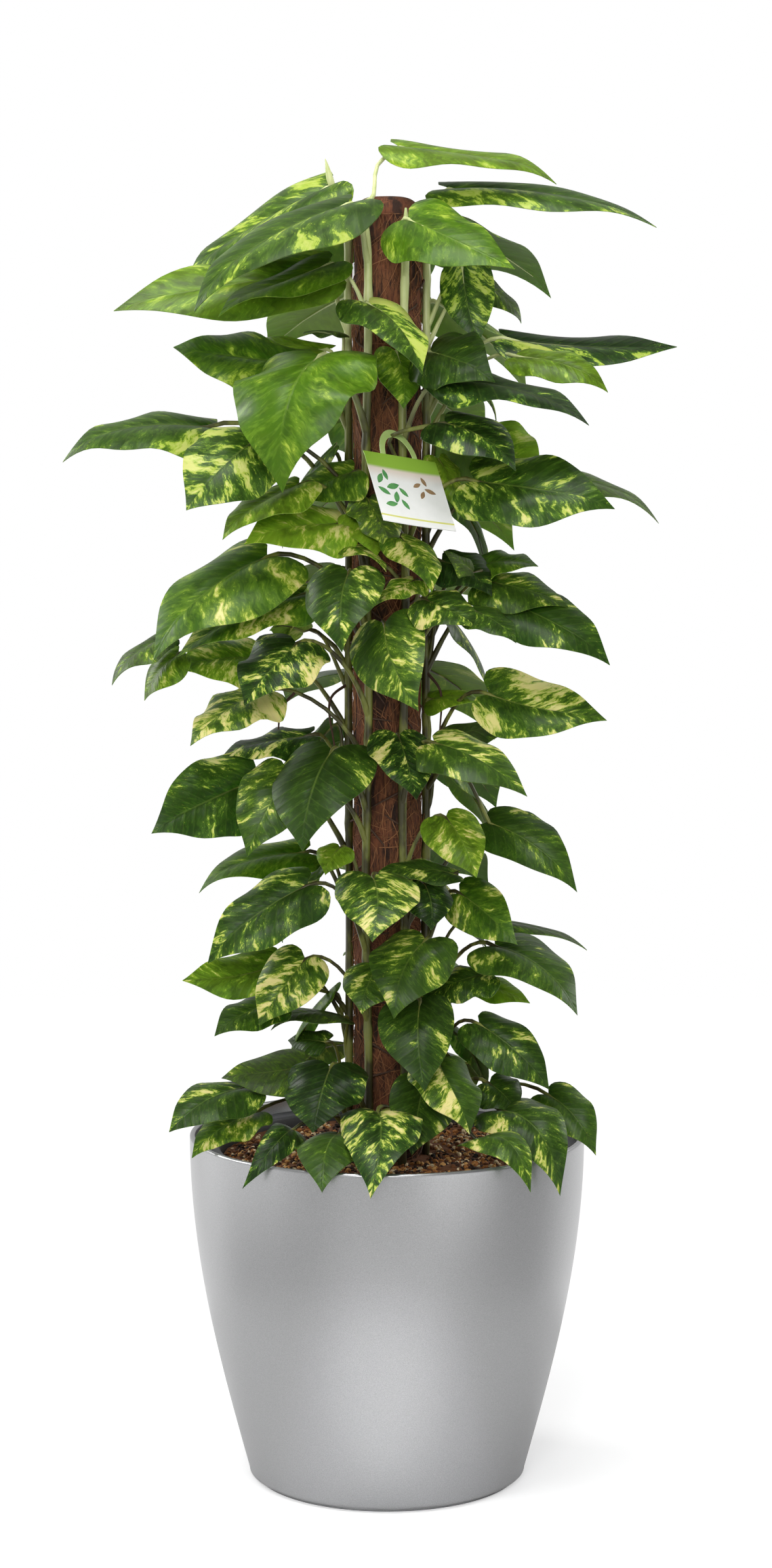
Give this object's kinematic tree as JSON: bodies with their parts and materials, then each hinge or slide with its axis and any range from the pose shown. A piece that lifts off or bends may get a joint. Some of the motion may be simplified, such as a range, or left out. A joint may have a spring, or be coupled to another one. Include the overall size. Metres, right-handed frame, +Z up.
{
  "type": "potted climbing plant",
  "caption": "Tall climbing house plant with heart-shaped variegated leaves on a round coir pole, in a tapered round metallic planter.",
  "frame": {"origin": "centre of the planter's underside, on the floor", "axes": "+Z up along the pole, +X to the right and -Y towards the viewer, whose side carries the tag"},
  "size_m": [0.648, 0.492, 1.4326],
  "materials": {
    "planter": "satin metallic silver lacquer on a moulded planter",
    "liner": "dark grey moulded plastic grow pot",
    "soil": "dark brown granules and potting soil",
    "coir": "rough reddish-brown coconut fibre",
    "core": "plain round stake",
    "tag": "thin printed card",
    "leaf": "glossy waxy leaf, deep green with yellow-cream streaks"
  },
  "bodies": {
    "root": {"planter": "planter", "liner": "liner", "soil": "soil", "coir_pole": "coir", "pole_core": "core", "tag": "tag", "vine_front_right": "leaf", "vine_front_left": "leaf", "vine_right": "leaf", "vine_left": "leaf", "vine_back": "leaf"}
  },
  "joints": []
}
